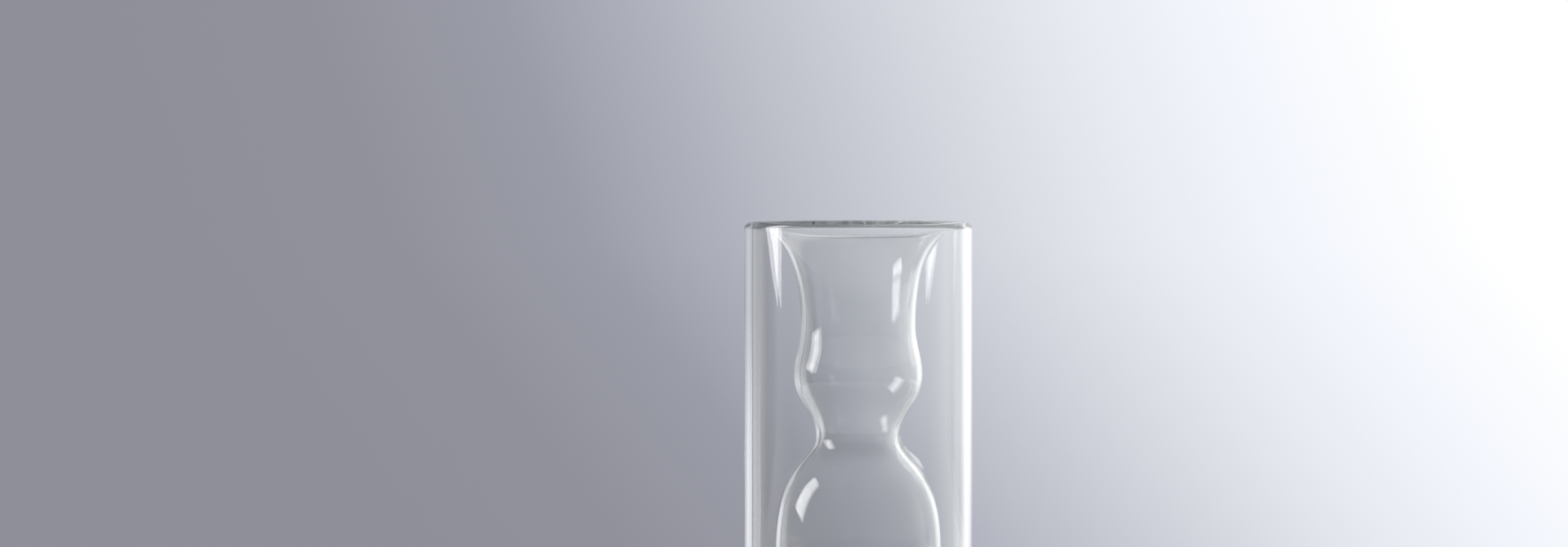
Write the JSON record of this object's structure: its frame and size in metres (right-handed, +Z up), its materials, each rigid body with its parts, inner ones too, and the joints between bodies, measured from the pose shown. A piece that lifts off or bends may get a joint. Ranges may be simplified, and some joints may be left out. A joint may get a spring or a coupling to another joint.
{
  "type": "double-walled glass vase",
  "caption": "Straight clear glass cylinder with a gourd-shaped vessel hung inside it from a fused rim, made to hold cut flowers in water.",
  "frame": {"origin": "middle of the base, on the surface that the vase stands on", "axes": "+Z up along the vase's axis; X and Y are alike, because the vase is turned about Z"},
  "size_m": [0.09, 0.09, 0.18],
  "materials": {
    "clear_glass": "polished by the flame, clear, with faint waviness from blowing",
    "clear_silicone": "milky translucent silicone, satin"
  },
  "bodies": {
    "root": {"outer_cylinder": "clear_glass", "fused_rim": "clear_glass", "inner_vessel": "clear_glass", "base_disc": "clear_glass", "vent_plug": "clear_silicone"}
  },
  "joints": []
}
